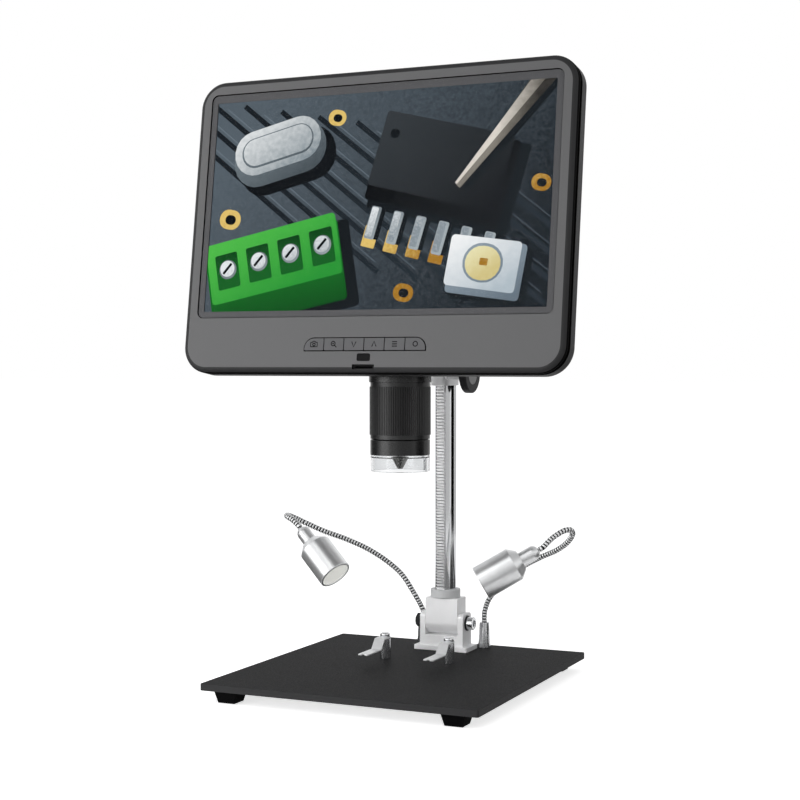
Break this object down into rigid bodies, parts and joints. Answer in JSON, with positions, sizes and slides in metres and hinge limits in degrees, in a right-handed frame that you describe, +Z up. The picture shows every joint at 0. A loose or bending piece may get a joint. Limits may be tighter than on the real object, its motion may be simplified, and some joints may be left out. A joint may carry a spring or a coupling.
{
  "type": "digital microscope",
  "caption": "Desk microscope with a tablet-sized display and a camera barrel on a rack-and-pinion pillar stand, with gooseneck lamps and stage clips.",
  "frame": {"origin": "on the table, under the middle of the base plate", "axes": "+Z up, +Y away from the user, +X to the user's right"},
  "size_m": [0.248, 0.19, 0.3751],
  "materials": {
    "base_steel": "black powder coat, fine texture",
    "rubber": "matt moulded rubber",
    "steel_screw": "zinc plated",
    "bright_steel": "bright nickel plate",
    "cast_silver": "die cast, fine satin silver",
    "black_steel": "black oxide",
    "pillar_chrome": "polished chrome",
    "gear_steel": "machined steel",
    "collar_plastic": "satin",
    "black_plastic": "fine moulded texture",
    "cap_grey": "satin",
    "bezel_plastic": "satin grey, fine moulded texture",
    "shell_plastic": "fine moulded texture",
    "button_plastic": "satin grey",
    "cover_glass": "clear with a dark printed border",
    "display": "picture",
    "circuit_board": "solder mask",
    "ir_plastic": "dark infrared window",
    "barrel_black": "black anodised",
    "ring_grey": "satin dark grey",
    "lens_glass": "coated optical glass",
    "clear_plastic": "clear acrylic",
    "led_board": "white solder mask",
    "lamp_aluminium": "turned and nickel plated",
    "gooseneck_steel": "wound spiral steel",
    "lamp_glass": "frosted"
  },
  "bodies": {
    "root": {"base_plate": "base_steel", "feet": "rubber", "base_screws": "steel_screw", "clip_posts": "bright_steel", "clip_nuts": "bright_steel", "pillar_bracket": "cast_silver", "hinge_bolt": "black_steel", "hinge_nut_washers": "black_steel", "lamp_sockets": "lamp_aluminium"},
    "pillar": {"hinge_block": "cast_silver", "pillar_tube": "pillar_chrome", "pillar_collar": "collar_plastic", "rack": "gear_steel", "pillar_cap": "black_plastic"},
    "carriage": {"carriage": "cast_silver", "tension_screw": "black_steel", "arm_screws": "steel_screw", "pinion_bushes": "cast_silver", "front_bezel": "bezel_plastic", "rear_shell": "shell_plastic", "shell_screws": "black_steel", "cover_glass": "cover_glass", "lcd_panel": "display", "main_board": "circuit_board", "key_board": "circuit_board", "ir_window": "ir_plastic", "card_slot": "black_plastic", "port_block": "black_plastic", "camera_housing": "black_plastic", "mount_plate": "steel_screw", "barrel_tube": "barrel_black", "lower_ring": "ring_grey", "clear_cap": "clear_plastic", "led_ring": "led_board", "sensor_board": "circuit_board"},
    "pinion": {"pinion_shaft": "gear_steel", "focus_knob_left": "black_plastic", "focus_knob_right": "black_plastic", "knob_caps": "cap_grey"},
    "ring": {"focus_ring": "barrel_black"},
    "lens": {"lens_cell": "barrel_black", "lens_elements": "lens_glass"},
    "key_1": {"button_1": "button_plastic"},
    "key_2": {"button_2": "button_plastic"},
    "key_3": {"button_3": "button_plastic"},
    "key_4": {"button_4": "button_plastic"},
    "key_5": {"button_5": "button_plastic"},
    "key_6": {"button_6": "button_plastic"},
    "clip_left": {"clip_blade_left": "bright_steel"},
    "clip_right": {"clip_blade_right": "bright_steel"},
    "arm_left": {"gooseneck_left": "gooseneck_steel"},
    "arm_right": {"gooseneck_right": "gooseneck_steel"},
    "lamp_left": {"lamp_neck_left": "lamp_aluminium", "lamp_shell_left": "lamp_aluminium", "lamp_lens_left": "lamp_glass", "lamp_led_left": "led_board"},
    "lamp_right": {"lamp_neck_right": "lamp_aluminium", "lamp_shell_right": "lamp_aluminium", "lamp_lens_right": "lamp_glass", "lamp_led_right": "led_board"}
  },
  "joints": [
    {"name": "pillar_tilt", "type": "hinge", "parent": "root", "child": "pillar", "pos_m": [0, 0.07, 0.0289], "axis": [1, 0, 0], "range_deg": [-30, 15]},
    {"name": "carriage_slide", "type": "slide", "parent": "pillar", "child": "carriage", "axis": [0, 0, 1], "range_m": [-0.09, 0.045]},
    {"name": "pinion_spin", "type": "hinge", "parent": "carriage", "child": "pinion", "pos_m": [0, 0.0558, 0.1932], "axis": [1, 0, 0], "range_deg": [-600, 1100]},
    {"name": "focus_turn", "type": "hinge", "parent": "carriage", "child": "ring", "pos_m": [0, -0.003, 0.17], "axis": [0, 0, 1], "range_deg": [0, 300]},
    {"name": "lens_slide", "type": "slide", "parent": "carriage", "child": "lens", "axis": [0, 0, 1], "range_m": [0, 0.005]},
    {"name": "button_1_press", "type": "slide", "parent": "carriage", "child": "key_1", "axis": [0, 0.9903, -0.1392], "range_m": [0, 0.0006], "stiffness_N_per_m": 2500, "springref_m": -0.0002},
    {"name": "button_2_press", "type": "slide", "parent": "carriage", "child": "key_2", "axis": [0, 0.9903, -0.1392], "range_m": [0, 0.0006], "stiffness_N_per_m": 2500, "springref_m": -0.0002},
    {"name": "button_3_press", "type": "slide", "parent": "carriage", "child": "key_3", "axis": [0, 0.9903, -0.1392], "range_m": [0, 0.0006], "stiffness_N_per_m": 2500, "springref_m": -0.0002},
    {"name": "button_4_press", "type": "slide", "parent": "carriage", "child": "key_4", "axis": [0, 0.9903, -0.1392], "range_m": [0, 0.0006], "stiffness_N_per_m": 2500, "springref_m": -0.0002},
    {"name": "button_5_press", "type": "slide", "parent": "carriage", "child": "key_5", "axis": [0, 0.9903, -0.1392], "range_m": [0, 0.0006], "stiffness_N_per_m": 2500, "springref_m": -0.0002},
    {"name": "button_6_press", "type": "slide", "parent": "carriage", "child": "key_6", "axis": [0, 0.9903, -0.1392], "range_m": [0, 0.0006], "stiffness_N_per_m": 2500, "springref_m": -0.0002},
    {"name": "clip_left_swivel", "type": "hinge", "parent": "root", "child": "clip_left", "pos_m": [-0.022, 0.0225, 0.0242], "axis": [0, 0, 1], "range_deg": [-90, 30]},
    {"name": "clip_right_swivel", "type": "hinge", "parent": "root", "child": "clip_right", "pos_m": [0.022, 0.0225, 0.0242], "axis": [0, 0, -1], "range_deg": [-90, 30]},
    {"name": "lamp_left_swing", "type": "hinge", "parent": "root", "child": "arm_left", "pos_m": [-0.022, 0.084, 0.0255], "axis": [0, 0, 1], "range_deg": [-40, 20]},
    {"name": "lamp_right_swing", "type": "hinge", "parent": "root", "child": "arm_right", "pos_m": [0.022, 0.084, 0.0255], "axis": [0, 0, -1], "range_deg": [-40, 20]},
    {"name": "lamp_left_tilt", "type": "hinge", "parent": "arm_left", "child": "lamp_left", "pos_m": [-0.07793, 0.01858, 0.08876], "axis": [-0.2756, -0.9613, 0], "range_deg": [-25, 25]},
    {"name": "lamp_right_tilt", "type": "hinge", "parent": "arm_right", "child": "lamp_right", "pos_m": [0.07304, 0.03454, 0.0815], "axis": [-0.4226, 0.9063, 0], "range_deg": [-25, 25]}
  ],
  "couplings": [
    {"joint": "pinion_spin", "follows": "carriage_slide", "rad_per_m": -208.33},
    {"joint": "lens_slide", "follows": "focus_turn", "m_per_rad": 0.00095}
  ]
}
